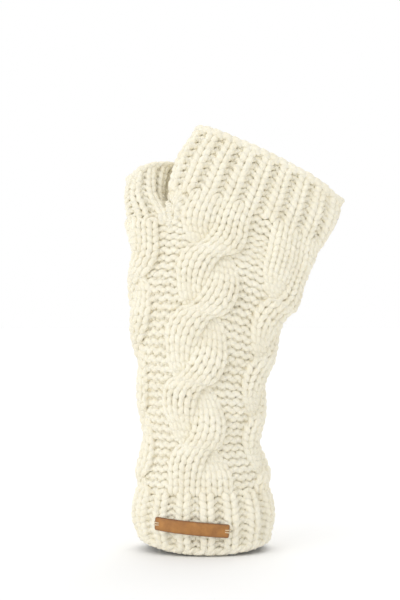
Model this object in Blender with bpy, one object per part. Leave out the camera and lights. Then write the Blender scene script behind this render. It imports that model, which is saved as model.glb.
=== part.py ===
"""Fingerless cable-knit arm warmer for a right hand, in the hollow pose in which it is worn.

Metres, +Z up towards the fingers, the back of the hand towards -Y and the thumb towards -X. The origin is
in the middle of the wrist. Each wall is a loft of rings, and a ring is one row of knitting. Along a ring,
a place counts stitches from the middle of the cable on the back of the hand: to the right, round the palm
and back past the thumb. Ribs and cables are raised in the outer points over a plain inside.
"""

import math

import bmesh
import bpy
import numpy as np

MM = 0.001
NAME = "knitted_arm_warmer"

# Rows of knitting, counted up from the cast-on edge.
HEM_TOP_ROW = 8
FORK_ROW = 41
CUFF_ROW = 45
RIM_ROW = 53
THUMB_ROWS = 8

# The stitches of one round at the fork: C in a rope cable, P purl, and N a purl that is added for the palm.
ROUND = "CCCPPCCCCCCPNNNPCCCCCCPNNNPCCCCCCPPCCC"
ADDED_AT_ROWS = (22, 27, 32, 24, 29, 34)
ADDED_OVER_ROWS = 4
CABLES = ((0, 14), (8, 10), (19, 14), (30, 10), (38, 14))
THUMB_FROM, THUMB_TO = 25, 34
HAND_CAST_ON = 7
THUMB_PICKED_UP = 11

# Rope cables: two strands of three stitches that swap sides every eight rows. CABLES holds each one's middle
# and first crossing row, four of which hang straight past their last crossing.
CROSSING_ROWS = 8
CROSSINGS = 4
STRAND_SWING = 1.5
STRAND_HALF_WIDTH = 1.6

# Heights in metres from the middle of the cloth.
OUTLINE_HEIGHT = 3.0 * MM
INSIDE_DEPTH = 2.0 * MM
PURL_HEIGHT = 0.8 * MM
RIB_HEIGHT = 2.6 * MM
THUMB_RIB_HEIGHT = 1.8 * MM
CABLE_HEIGHT = 4.0 * MM
CABLE_CROSSING_HEIGHT = 1.4 * MM
EDGE_HEIGHT = 1.9 * MM
FORK_HEIGHT = 1.2 * MM
FORK_OFFSET = 1.4 * MM
SEAM_GAP = 0.3 * MM

# The fork: its corners are rounded, and above it the tubes round out and their stitches spread evenly.
CORNER = 0.3
CORNER_SMOOTHINGS = 5
ROUNDING_ROWS = 4.5
SPREAD_ROWS = 8

# The garment's outline seen from the back of the hand, in millimetres. A ring runs from its left end to its
# right end, bows up in the middle, and is as deep from front to back as depth says. front is how far round
# from its front's middle the cable on the back of the hand sits.
SECTION_NAMES = ("row", "left_x", "left_y", "left_z", "right_x", "right_y", "right_z", "bow", "depth", "front")
ARM_SECTIONS = (
    (0, -38.0, 0.0, -58.0, 40.6, 0.0, -59.6, -4.7, 60.0, -1.2),
    (3, -41.6, 0.0, -47.6, 43.1, 0.0, -48.2, -2.9, 63.0, -1.2),
    (6, -40.9, 0.0, -37.6, 42.2, 0.0, -37.6, -1.3, 61.0, -1.2),
    (8, -38.8, 0.0, -30.8, 39.7, 0.0, -30.8, -0.3, 58.0, -1.2),
    (11, -35.6, 0.0, -18.0, 36.6, 0.0, -18.6, 0.0, 55.0, -1.4),
    (14, -34.5, 0.0, -3.9, 33.4, 0.0, -6.4, 0.0, 53.0, -2.0),
    (18, -35.0, 0.0, 15.1, 34.3, 0.0, 9.5, 0.4, 53.0, -4.0),
    (22, -37.2, 0.0, 34.8, 36.4, 0.0, 25.5, 1.2, 54.0, -5.6),
    (26, -38.6, 0.0, 54.5, 39.6, 0.0, 41.5, 3.6, 53.0, -4.4),
    (30, -41.6, 0.0, 74.2, 44.4, 0.0, 56.6, 6.0, 51.0, -3.0),
    (34, -40.6, 0.0, 92.8, 52.6, 0.0, 71.6, 7.2, 49.0, -4.2),
    (38, -41.8, 0.0, 110.8, 59.0, 0.0, 85.5, 7.6, 47.0, -5.2),
    (41, -44.8, 0.0, 123.5, 62.9, 0.0, 95.2, 7.4, 45.5, -4.5),
)
HAND_SECTIONS = (
    (41, -27.0, -9.0, 123.5, 62.9, 0.0, 95.2, 7.4, 45.5, -0.5),
    (43, -25.1, -9.0, 133.5, 66.4, 0.0, 101.2, 6.1, 44.5, -2.0),
    (45, -21.2, -8.0, 143.3, 70.6, 0.0, 107.3, 4.8, 42.5, -4.0),
    (49, -15.6, -6.5, 160.3, 78.9, 0.0, 120.4, 3.4, 39.0, -6.8),
    (53, -4.6, -5.0, 177.0, 82.6, -0.5, 134.0, 2.4, 36.0, -7.7),
)
THUMB_SECTIONS = (
    (0, -46.4, -3.0, 123.5, -20.4, 9.0, 124.0, 1.0, 38.0, 0.0),
    (1.5, -46.5, -1.5, 128.3, -19.0, 9.5, 129.4, 1.2, 36.0, 1.5),
    (3, -46.6, 0.0, 133.0, -18.2, 10.0, 135.2, 1.5, 34.0, 3.0),
    (6, -46.4, 4.0, 141.8, -15.8, 11.5, 147.6, 2.0, 30.5, 5.0),
    (8, -46.0, 6.5, 147.8, -13.6, 12.5, 156.6, 2.5, 28.5, 6.0),
)
ROUNDNESS = 2.25

# A row's usual height, and where the search for the rows under the label starts.
ROW_HEIGHT = 4.0 * MM
LABEL_FIRST_ROW = 3.0

# How finely each wall is built.
POINTS_PER_STITCH = 3
ARM_POINTS = 114
ARM_RING_STEP = 1.18
RING_SAMPLES = 720

# The label lies on the front of the hem rib: its middle's place and height, and its size.
LABEL_MIDDLE_STITCH = -0.74
LABEL_MIDDLE_Z = -49.6 * MM
LABEL_LENGTH = 40.4 * MM
LABEL_WIDTH = 7.6 * MM
LABEL_THICKNESS = 1.5 * MM
LABEL_TILT = math.radians(-5.3)
LABEL_POINTS_ALONG = 26
LABEL_POINTS_ACROSS = 4

MATERIALS = {
    "wool": ((0.86, 0.81, 0.68), 0.9),
    "leather": ((0.45, 0.22, 0.09), 0.55),
}


def smooth_step(x):
    x = np.clip(x, 0.0, 1.0)
    return x * x * (3.0 - 2.0 * x)


def section_at(sections, row):
    """The table's values at any row, on a smooth curve through its rows, as a dictionary in metres."""
    table = np.array(sections, float)
    rows = table[:, 0]
    slopes = np.gradient(table, rows, axis=0)
    i = int(np.clip(np.searchsorted(rows, row, side="right") - 1, 0, len(rows) - 2))
    span = rows[i + 1] - rows[i]
    x = (row - rows[i]) / span
    start, end = 1 - 3 * x**2 + 2 * x**3, 3 * x**2 - 2 * x**3
    leave, arrive = x - 2 * x**2 + x**3, x**3 - x**2
    values = (
        start * table[i]
        + end * table[i + 1]
        + span * (leave * slopes[i] + arrive * slopes[i + 1])
    )
    return {name: value * MM for name, value in zip(SECTION_NAMES, values) if name != "row"}


def round_section(section):
    """One ring of the cloth's middle, as a dense closed line from the front's middle towards the right.

    Returns its points, the way up at each, and how far round each lies."""
    left = np.array([section["left_x"], 0.0, section["left_z"]])
    right = np.array([section["right_x"], 0.0, section["right_z"]])
    middle_y = (section["left_y"] + section["right_y"]) / 2
    across = (right - left) / np.linalg.norm(right - left)
    upward = np.array([-across[2], 0.0, across[0]])
    half_width = np.linalg.norm(right - left) / 2 - OUTLINE_HEIGHT
    half_depth = section["depth"] / 2 - OUTLINE_HEIGHT
    angle = np.linspace(0.0, 2 * math.pi, RING_SAMPLES + 1)
    sine, cosine = np.sin(angle), np.cos(angle)
    side = np.sign(sine) * np.abs(sine) ** (2 / ROUNDNESS)
    front = np.sign(cosine) * np.abs(cosine) ** (2 / ROUNDNESS)
    points = (
        (left + right) / 2
        + np.outer(side * half_width, across)
        + np.outer(section["bow"] * (1 - side**2), upward)
    )
    points[:, 1] = middle_y + side * (section["right_y"] - middle_y) - half_depth * front
    chord = half_width * across - np.outer(2 * side * section["bow"], upward)
    ups = np.stack([-chord[:, 2], np.zeros(len(chord)), chord[:, 0]], axis=1)
    ups /= np.linalg.norm(ups, axis=1)[:, None]
    steps = np.linalg.norm(np.diff(points, axis=0), axis=1)
    return points, ups, np.concatenate([[0.0], np.cumsum(steps)])


def read_ring(section, turns):
    """The ring's points and ways up at these turns, counted from front past the front's middle."""
    points, ups, along = round_section(section)
    places = (section["front"] + np.asarray(turns) * along[-1]) % along[-1]
    return [
        np.stack([np.interp(places, along, values[:, k]) for k in range(3)], axis=1)
        for values in (points, ups)
    ]


def stitch_edges(row):
    """Where each stitch of the round starts at this row, counted in whole stitches, and the count last."""
    added = iter(ADDED_AT_ROWS)
    widths = [
        float(smooth_step((row - next(added)) / ADDED_OVER_ROWS)) if kind == "N" else 1.0
        for kind in ROUND
    ]
    return np.concatenate([[0.0], np.cumsum(widths)])


def arm_ring(row, stitches):
    """The arm's ring at a row. stitches are places in ROUND."""
    edges = stitch_edges(row)
    places = np.asarray(stitches, float)
    turns = np.floor(places / len(ROUND))
    share = np.interp(places - turns * len(ROUND), np.arange(len(edges)), edges) / edges[-1]
    return read_ring(section_at(ARM_SECTIONS, row), share + turns)


class ForkTube:
    """A tube that starts as one side of the fork, closed by a bridge of new stitches, and rounds out above.

    Its places count its own stitches, from the first one that it takes from the arm. turn is how far round
    its ring the bridge's middle lies."""

    def __init__(self, sections, start_row, first, last, bridge, offset, turn):
        self.sections, self.start_row, self.turn = sections, start_row, turn
        self.taken = last - first
        self.stitches = self.taken + bridge
        self.middle = self.taken + bridge / 2
        places = np.arange(0, self.stitches, 0.1)
        line, ups = arm_ring(FORK_ROW, first + np.clip(places, CORNER, self.taken - CORNER))
        ends, end_ups = arm_ring(FORK_ROW, np.array([last - CORNER, first + CORNER]))
        ends[:, 0] += offset
        across = places > self.taken
        share = ((places[across] - self.taken) / bridge)[:, None]
        line[across] = ends[0] * (1 - share) + ends[1] * share
        ups[across] = end_ups[0] * (1 - share) + end_ups[1] * share
        for _ in range(CORNER_SMOOTHINGS):
            line = (np.roll(line, 1, axis=0) + line + np.roll(line, -1, axis=0)) / 3
        self.places = np.append(places, self.stitches)
        self.line, self.ups = np.vstack([line, line[:1]]), np.vstack([ups, ups[:1]])
        steps = np.linalg.norm(np.diff(self.line, axis=0), axis=1)
        self.along = np.concatenate([[0.0], np.cumsum(steps)]) / steps.sum()

    def ring(self, row, places):
        places = np.asarray(places, float)
        wrapped = places % self.stitches
        fork, fork_ups = (
            np.stack([np.interp(wrapped, self.places, values[:, k]) for k in range(3)], axis=1)
            for values in (self.line, self.ups)
        )
        along = np.interp(wrapped, self.places, self.along) + np.floor(places / self.stitches)
        fork_turn = self.turn + along - np.interp(self.middle, self.places, self.along)
        even_turn = self.turn + (places - self.middle) / self.stitches
        above = row - self.start_row
        spread = float(smooth_step(above / SPREAD_ROWS))
        turn = (1 - spread) * fork_turn + spread * even_turn
        points, ups = read_ring(section_at(self.sections, row), turn)
        start, start_ups = read_ring(section_at(self.sections, self.start_row), fork_turn)
        left = 1 - float(smooth_step(above / ROUNDING_ROWS))
        return points + left * (fork - start), ups + left * (fork_ups - start_ups)


HAND = ForkTube(
    HAND_SECTIONS, FORK_ROW, THUMB_TO, THUMB_FROM + len(ROUND), HAND_CAST_ON, FORK_OFFSET, turn=0.75
)
THUMB = ForkTube(THUMB_SECTIONS, 0, THUMB_FROM, THUMB_TO, THUMB_PICKED_UP, -FORK_OFFSET, turn=0.25)


def outward(points, ups):
    """The way out of the cloth at each point of a closed ring, in the ring's own plane."""
    along = np.roll(points, -1, axis=0) - np.roll(points, 1, axis=0)
    out = np.cross(along, ups)
    return out / np.linalg.norm(out, axis=1)[:, None]


def rib(places, height):
    """Knit 1, purl 1: every stitch that starts at an even number stands up."""
    wave = 0.5 + 0.5 * np.cos(math.pi * (np.asarray(places) - 0.5))
    return PURL_HEIGHT / 2 + (height - PURL_HEIGHT / 2) * wave**0.8


def strand_turn(first_crossing, row):
    """How far a cable's strands have turned round each other. They hang straight at both ends."""
    crossings = (row - first_crossing) / CROSSING_ROWS
    return math.pi * min(max(crossings, -0.5), CROSSINGS - 0.5)


def cables(places, row):
    """The rope cables' height: each strand swings from side to side and rises where it crosses over."""
    height = np.full(len(places), PURL_HEIGHT)
    for middle, first_crossing in CABLES:
        turn = strand_turn(first_crossing, row)
        for side in (1, -1):
            swing = side * math.sin(turn)
            centre = middle + STRAND_SWING * math.copysign(abs(swing) ** 0.8, swing)
            top = CABLE_HEIGHT - PURL_HEIGHT + CABLE_CROSSING_HEIGHT * side * math.cos(turn)
            away = (np.asarray(places) - centre) / STRAND_HALF_WIDTH
            round_top = np.sqrt(np.clip(1 - away**2, 0, 1))
            height = np.maximum(height, PURL_HEIGHT + top * round_top)
    return height


def mesh_object(name, verts, faces, material):
    mesh = bpy.data.meshes.new(name)
    mesh.from_pydata([tuple(v) for v in verts], [], faces)
    work = bmesh.new()
    work.from_mesh(mesh)
    bmesh.ops.recalc_face_normals(work, faces=work.faces)
    work.to_mesh(mesh)
    work.free()
    mesh.shade_smooth()
    mesh.set_sharp_from_angle(angle=math.radians(50))
    mesh.materials.append(bpy.data.materials[material])
    piece = bpy.data.objects.new(name, mesh)
    bpy.data.collections[NAME].objects.link(piece)
    piece.parent = bpy.data.objects[NAME + "_origin"]
    return piece


def wall(name, outer_rings, inner_rings, material):
    """A tube's wall: rings of equal count up the outside, then down the inside, joined in a loop."""
    rings = outer_rings + inner_rings[::-1]
    count = len(rings[0])
    verts = np.concatenate(rings)
    faces = []
    for i in range(len(rings)):
        a, b = i * count, (i + 1) % len(rings) * count
        for j in range(count):
            k = (j + 1) % count
            faces.append((a + j, a + k, b + k, b + j))
    return mesh_object(name, verts, faces, material)


def raised(ring, height, lift):
    """A ring's points moved out by height, and along the cloth by lift."""
    points, ups = ring
    out = outward(points, ups)
    height = np.broadcast_to(height, len(points))
    return points + height[:, None] * out + lift * ups


def lifts(rows):
    """Half a seam's gap up from the first row and down from the last one."""
    return [SEAM_GAP / 2 if r == rows[0] else -SEAM_GAP / 2 if r == rows[-1] else 0.0 for r in rows]


def stitch_places(count):
    """Places at the middle of each stitch and between, all round."""
    return (np.arange(count * POINTS_PER_STITCH) + 0.5) / POINTS_PER_STITCH


def build_hem():
    """The ribbed hem, whose cast-on edge is a plain roll."""
    rows = (0.0, 0.5, 1.4, 3.8, 6.4, HEM_TOP_ROW)
    inner_rows = (0.0, 3.8, HEM_TOP_ROW)
    stitches = len(ROUND) - ROUND.count("N")
    places = stitch_places(stitches)
    in_round = np.interp(places, stitch_edges(0), np.arange(len(ROUND) + 1))
    outer = []
    for row, lift in zip(rows, lifts(rows)):
        edge = 1 - float(smooth_step(row / 1.2))
        height = edge * EDGE_HEIGHT + (1 - edge) * rib(places, RIB_HEIGHT)
        outer.append(raised(arm_ring(row, in_round), height, lift))
    inner = [
        raised(arm_ring(row, in_round), -INSIDE_DEPTH, lift)
        for row, lift in zip(inner_rows, lifts(inner_rows))
    ]
    return wall("hem_rib", outer, inner, "wool")


def arm_places(row):
    """Evenly spaced places round the arm, as places in ROUND."""
    edges = stitch_edges(row)
    even = np.arange(ARM_POINTS) / ARM_POINTS * edges[-1]
    return np.interp(even, edges, np.arange(len(edges)))


def build_arm():
    """The cabled arm and palm, from the hem rib to the fork."""
    steps = round((FORK_ROW - HEM_TOP_ROW) / ARM_RING_STEP)
    rows = np.linspace(HEM_TOP_ROW, FORK_ROW, steps + 1)
    inner_rows = np.linspace(HEM_TOP_ROW, FORK_ROW, 7)
    outer = []
    for row, lift in zip(rows, lifts(rows)):
        places = arm_places(row)
        into_cable = float(smooth_step((row - HEM_TOP_ROW) / 2))
        blend = (1 - into_cable) * rib(places, RIB_HEIGHT) + into_cable * cables(places, row)
        outer.append(raised(arm_ring(row, places), blend, lift))
    inner = [
        raised(arm_ring(row, arm_places(row)), -INSIDE_DEPTH, lift)
        for row, lift in zip(inner_rows, lifts(inner_rows))
    ]
    return wall("cabled_arm", outer, inner, "wool")


def fork_height(height, row, bridge):
    """Lower relief on the bridge between hand and thumb, where the two tubes stand face to face."""
    near = (1 - smooth_step(row / 2.5)) * bridge
    return near * FORK_HEIGHT + (1 - near) * height


def build_hand():
    """The hand tube: the tops of the cables, then rib up to the cast-off edge."""
    rows = (FORK_ROW, 42.2, 43.5, 44.8, 46.2, 49.6, 52.2, RIM_ROW)
    inner_rows = (FORK_ROW, 43.5, CUFF_ROW + 2, RIM_ROW)
    places = stitch_places(HAND.stitches)
    bridge = smooth_step(np.minimum(places - HAND.taken, HAND.stitches - places) + 1)
    outer = []
    for row, lift in zip(rows, lifts(rows)):
        into_rib = float(smooth_step((row - CUFF_ROW + 2) / 2.5))
        edge = float(smooth_step((row - RIM_ROW + 0.8) / 0.8))
        cable_part = cables((places + THUMB_TO) % len(ROUND), row)
        cable_part = np.where(places > HAND.taken, PURL_HEIGHT, cable_part)
        height = (1 - into_rib) * cable_part + into_rib * rib(places, RIB_HEIGHT)
        height = (1 - edge) * height + edge * EDGE_HEIGHT
        height = fork_height(height, row - FORK_ROW, bridge)
        outer.append(raised(HAND.ring(row, places), height, lift))
    inner = [
        raised(HAND.ring(row, places), -INSIDE_DEPTH, lift)
        for row, lift in zip(inner_rows, lifts(inner_rows))
    ]
    return wall("hand_rib", outer, inner, "wool")


def build_thumb():
    """The thumb's narrow rib."""
    rows = (0.0, 1.2, 2.6, 5.0, 7.3, THUMB_ROWS)
    inner_rows = (0.0, 2.6, 5.0, THUMB_ROWS)
    places = stitch_places(THUMB.stitches)
    bridge = smooth_step(np.minimum(places - THUMB.taken, THUMB.stitches - places) + 1)
    outer = []
    for row, lift in zip(rows, lifts(rows)):
        into_rib = float(smooth_step(row / 2))
        edge = float(smooth_step((row - THUMB_ROWS + 0.8) / 0.8))
        cable_part = cables(places + THUMB_FROM, FORK_ROW + row)
        cable_part = np.where(places > THUMB.taken, PURL_HEIGHT, cable_part)
        height = (1 - into_rib) * cable_part + into_rib * rib(places, THUMB_RIB_HEIGHT)
        height = (1 - edge) * height + edge * EDGE_HEIGHT * 0.8
        height = fork_height(height, row, bridge)
        outer.append(raised(THUMB.ring(row, places), height, lift))
    inner = [
        raised(THUMB.ring(row, places), -INSIDE_DEPTH * 0.85, lift)
        for row, lift in zip(inner_rows, lifts(inner_rows))
    ]
    return wall("thumb_rib", outer, inner, "wool")


def label_point(stitch, z):
    """The point of the cloth's middle on the hem at a place and a height, and the way out there."""
    row = LABEL_FIRST_ROW
    for _ in range(6):
        ring = arm_ring(row, stitch % len(ROUND) + np.array([-0.1, 0.0, 0.1]))
        row += (z - ring[0][1][2]) / ROW_HEIGHT
    return ring[0][1], outward(*ring)[1]


def build_label():
    """A thin strip that follows the hem's rib crests, with a small gap under it."""
    middle, _ = label_point(LABEL_MIDDLE_STITCH, LABEL_MIDDLE_Z)
    stitch_width = np.linalg.norm(label_point(LABEL_MIDDLE_STITCH + 1, LABEL_MIDDLE_Z)[0] - middle)
    lower, upper = [], []
    for i in range(LABEL_POINTS_ALONG):
        for j in range(LABEL_POINTS_ACROSS):
            x = (i / (LABEL_POINTS_ALONG - 1) - 0.5) * LABEL_LENGTH
            y = (j / (LABEL_POINTS_ACROSS - 1) - 0.5) * LABEL_WIDTH
            across = x * math.cos(LABEL_TILT) - y * math.sin(LABEL_TILT)
            up = x * math.sin(LABEL_TILT) + y * math.cos(LABEL_TILT)
            point, out = label_point(LABEL_MIDDLE_STITCH + across / stitch_width, LABEL_MIDDLE_Z + up)
            lower.append(point + out * (RIB_HEIGHT + SEAM_GAP))
            upper.append(point + out * (RIB_HEIGHT + SEAM_GAP + LABEL_THICKNESS))
    grid = np.arange(len(lower)).reshape(LABEL_POINTS_ALONG, LABEL_POINTS_ACROSS)
    faces = []
    for side in (grid, grid + len(lower)):
        for i in range(LABEL_POINTS_ALONG - 1):
            for j in range(LABEL_POINTS_ACROSS - 1):
                faces.append((side[i, j], side[i + 1, j], side[i + 1, j + 1], side[i, j + 1]))
    border = [*grid[:, 0], *grid[-1, 1:], *grid[-2::-1, -1], *grid[0, -2:0:-1]]
    for a, b in zip(border, border[1:] + border[:1]):
        faces.append((a, b, b + len(lower), a + len(lower)))
    faces = [tuple(int(i) for i in face) for face in faces]
    return mesh_object("leather_label", lower + upper, faces, "leather")


def clear_scene():
    for thing in list(bpy.data.objects):
        bpy.data.objects.remove(thing, do_unlink=True)


def make_materials():
    for name, (colour, roughness) in MATERIALS.items():
        material = bpy.data.materials.new(name)
        material.use_nodes = True
        shader = material.node_tree.nodes["Principled BSDF"]
        shader.inputs["Base Color"].default_value = (*colour, 1.0)
        shader.inputs["Roughness"].default_value = roughness
        shader.inputs["Metallic"].default_value = 0.0


def main():
    clear_scene()
    make_materials()
    collection = bpy.data.collections.new(NAME)
    bpy.context.scene.collection.children.link(collection)
    collection.objects.link(bpy.data.objects.new(NAME + "_origin", None))
    build_hem()
    build_arm()
    build_hand()
    build_thumb()
    build_label()


main()
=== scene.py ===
"""The looks of a hand-knitted, fingerless arm warmer in thick cream wool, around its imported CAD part.

Every stitch that shows is a real loop of yarn. The yarn follows the same surfaces as the CAD walls: a ring
of the cloth is one row of knitting, and a place along it counts stitches. Metres, +Z up towards the fingers,
the back of the hand towards -Y and the thumb towards -X.
"""

import math

import bpy
import numpy as np
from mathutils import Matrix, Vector


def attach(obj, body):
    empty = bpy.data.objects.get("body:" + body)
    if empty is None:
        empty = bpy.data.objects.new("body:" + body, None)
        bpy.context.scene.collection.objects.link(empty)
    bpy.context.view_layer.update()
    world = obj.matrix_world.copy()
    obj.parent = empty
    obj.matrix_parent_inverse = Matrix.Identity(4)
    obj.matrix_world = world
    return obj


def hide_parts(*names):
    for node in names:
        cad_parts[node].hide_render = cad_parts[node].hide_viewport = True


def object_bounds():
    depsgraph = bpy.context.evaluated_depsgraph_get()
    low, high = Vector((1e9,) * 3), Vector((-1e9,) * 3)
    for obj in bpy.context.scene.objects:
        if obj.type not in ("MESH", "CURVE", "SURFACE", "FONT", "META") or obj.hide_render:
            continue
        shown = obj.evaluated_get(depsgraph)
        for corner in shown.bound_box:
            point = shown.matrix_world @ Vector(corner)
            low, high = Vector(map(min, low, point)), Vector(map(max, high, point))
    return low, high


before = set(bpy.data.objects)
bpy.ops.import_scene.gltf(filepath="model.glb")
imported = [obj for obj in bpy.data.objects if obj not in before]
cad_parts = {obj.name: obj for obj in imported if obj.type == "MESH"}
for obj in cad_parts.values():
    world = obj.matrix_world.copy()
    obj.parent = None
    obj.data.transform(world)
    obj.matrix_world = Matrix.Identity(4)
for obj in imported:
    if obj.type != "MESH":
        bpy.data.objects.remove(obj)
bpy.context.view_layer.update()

MM = 0.001
SEED = 7
BAKE_MAP = "OFBake"
YARN_MAP = "yarn"

# ---- The knitted surfaces, as in the CAD part ----

# Rows of knitting, counted up from the cast-on edge.
HEM_TOP_ROW = 8
FORK_ROW = 41
CUFF_ROW = 45
RIM_ROW = 53
THUMB_ROWS = 8

# The stitches of one round at the fork: C in a rope cable, P purl, and N a purl that is added for the palm.
ROUND = "CCCPPCCCCCCPNNNPCCCCCCPNNNPCCCCCCPPCCC"
ADDED_AT_ROWS = (22, 27, 32, 24, 29, 34)
ADDED_OVER_ROWS = 4
THUMB_FROM, THUMB_TO = 25, 34
HEM_STITCHES = len(ROUND) - ROUND.count("N")
HAND_CAST_ON = 7
THUMB_PICKED_UP = 11

# Rope cables: two strands of three stitches that swap sides every eight rows. CABLES holds each one's middle
# and first crossing row. The front one comes first.
CABLES = ((0, 14), (8, 10), (19, 14), (30, 10))
STRANDS = tuple((cable, side) for cable in CABLES for side in (1, -1))
CROSSING_ROWS = 8
CROSSINGS = 4
HAND_STRANDS = STRANDS[:6]  # the last cable ends at the thumb
STRAND_STITCHES = 3
STRAND_SWING = 1.5
STRAND_SNAP = 0.55
STRAND_HALF_WIDTH = 1.62
STRAND_SPREAD = 0.18
STRAND_LEVELLING = 0.8
STRAND_START = 0.45  # of its full height, over the hem and under the cuff
STRAND_END = 0.6
STRAND_FADE_ROWS = 2.5
COVER_MARGIN = 0.45

# Heights from the middle of the cloth.
OUTLINE_HEIGHT = 3.0 * MM
PURL_HEIGHT = 0.8 * MM
RIB_PURL_HEIGHT = -0.2 * MM
RIB_HEIGHT = 2.6 * MM
THUMB_RIB_HEIGHT = 2.0 * MM
RIB_ROUNDNESS = 0.8
CABLE_HEIGHT = 4.1 * MM
CABLE_CROSSING_HEIGHT = 2.1 * MM
FRONT_CROSSING_HEIGHT = 3.1 * MM  # deeper than in the CAD part, for the photo's shadows
FORK_HEIGHT = 1.2 * MM
FORK_HEIGHT_ROWS = 2.5
FORK_OFFSET = 1.4 * MM

# The corners between the fork's two sides and their bridges, and how fast the tubes round out above them.
CORNER = 0.3
CORNER_SMOOTHINGS = 5
CORNER_SOFTENINGS = 35
ROUNDING_ROWS = 4.5
SPREAD_ROWS = 8

# The rims: how far they dip and are tucked in at the two ends of their rings, and how far the purl stitches
# rise towards them.
HAND_DIP = 1.8 * MM
THUMB_DIP = 2.4 * MM
DIP_ROWS = 2.5
DIP_STITCHES = 1.6
RIM_TUCK = 1.3 * MM
RIM_RISE = 1.7 * MM
RIM_RISE_ROWS = 1.3

# The outline seen from the back of the hand, in millimetres, as in the CAD part.
SECTION_NAMES = (
    "row", "left_x", "left_y", "left_z", "right_x", "right_y", "right_z", "bow", "depth", "front"
)
ARM_SECTIONS = (
    (0, -38.0, 0.0, -58.0, 40.6, 0.0, -59.6, -4.7, 60.0, -1.2),
    (3, -41.6, 0.0, -47.6, 43.1, 0.0, -48.2, -2.9, 63.0, -1.2),
    (6, -40.9, 0.0, -37.6, 42.2, 0.0, -37.6, -1.3, 61.0, -1.2),
    (8, -38.8, 0.0, -30.8, 39.7, 0.0, -30.8, -0.3, 58.0, -1.2),
    (11, -35.6, 0.0, -18.0, 36.6, 0.0, -18.6, 0.0, 55.0, -1.4),
    (14, -34.5, 0.0, -3.9, 33.4, 0.0, -6.4, 0.0, 53.0, -2.0),
    (18, -35.0, 0.0, 15.1, 34.3, 0.0, 9.5, 0.4, 53.0, -4.0),
    (22, -37.2, 0.0, 34.8, 36.4, 0.0, 25.5, 1.2, 54.0, -5.6),
    (26, -38.6, 0.0, 54.5, 39.6, 0.0, 41.5, 3.6, 53.0, -4.4),
    (30, -41.6, 0.0, 74.2, 44.4, 0.0, 56.6, 6.0, 51.0, -3.0),
    (34, -40.6, 0.0, 92.8, 52.6, 0.0, 71.6, 7.2, 49.0, -4.2),
    (38, -41.8, 0.0, 110.8, 59.0, 0.0, 85.5, 7.6, 47.0, -5.2),
    (41, -44.8, 0.0, 123.5, 62.9, 0.0, 95.2, 7.4, 45.5, -4.5),
)
HAND_SECTIONS = (
    (41, -27.0, -9.0, 123.5, 62.9, 0.0, 95.2, 7.4, 45.5, -0.5),
    (43, -25.1, -9.0, 133.5, 66.4, 0.0, 101.2, 6.1, 44.5, -2.0),
    (45, -21.2, -8.0, 143.3, 70.6, 0.0, 107.3, 4.8, 42.5, -4.0),
    (49, -15.6, -6.5, 160.3, 78.9, 0.0, 120.4, 3.4, 39.0, -6.8),
    (53, -4.6, -5.0, 177.0, 82.6, -0.5, 134.0, 2.4, 36.0, -7.7),
)
THUMB_SECTIONS = (
    (0, -46.4, -3.0, 123.5, -20.4, 9.0, 124.0, 1.0, 38.0, 0.0),
    (1.5, -46.5, -1.5, 128.3, -19.0, 9.5, 129.4, 1.2, 36.0, 1.5),
    (3, -46.6, 0.0, 133.0, -18.2, 10.0, 135.2, 1.5, 34.0, 3.0),
    (6, -46.4, 4.0, 141.8, -15.8, 11.5, 147.6, 2.0, 30.5, 5.0),
    (8, -46.0, 6.5, 147.8, -13.6, 12.5, 156.6, 2.5, 28.5, 6.0),
)
ROUNDNESS = 2.25
RING_SAMPLES = 720
FORK_LINE_STEP = 0.1

# The grid through which a surface is read: its samples, and the rows that it adds beyond both ends.
PLACES_PER_STITCH = 8
ROWS_STEP = 0.25
MARGIN_ROWS = 1.0
ROW_HEIGHT = 4.6 * MM

# The label, as in the CAD part, and the thread that holds it.
LABEL_MIDDLE_STITCH = -0.74
LABEL_MIDDLE_Z = -49.6 * MM
LABEL_LENGTH = 40.4 * MM
LABEL_WIDTH = 7.6 * MM
LABEL_THICKNESS = 1.5 * MM
LABEL_TILT = math.radians(-5.3)
LABEL_FIRST_ROW = 3.0
LABEL_SEARCH_STEPS = 6
LABEL_LIFT = 0.15 * MM
LABEL_CORNER = 1.0 * MM
LABEL_EDGE = 0.5 * MM
LABEL_EDGE_STEPS = np.array([0.0, 0.06, 0.16, 0.3, 0.5, 0.9]) * MM
LABEL_EDGE_END = 1.5 * MM
LABEL_UNDER_EDGE = 0.6
LABEL_STEPS = (40, 7)
LABEL_RIB_PITCH = 12 * MM
LABEL_SAG = 0.25 * MM
LABEL_PULL = 0.35 * MM
LABEL_STITCH_IN = 2.2 * MM
LABEL_STITCH_OUT = 1.1 * MM
LABEL_STITCH_GAP = 0.55 * MM
LABEL_STITCH_FOOT = 1.6 * MM
EDGE_SHARE = "edge_share"
THREAD_RADIUS = 0.33 * MM
THREAD_SAMPLES = 15
THREAD_ARCH = 0.75 * MM
THREAD_START = 0.25 * MM
THREAD_TURN, THREAD_PHASE, THREAD_SINK, THREAD_SPREAD = 1.25, 0.12, 0.7, 0.5

# ---- The yarn ----

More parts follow.
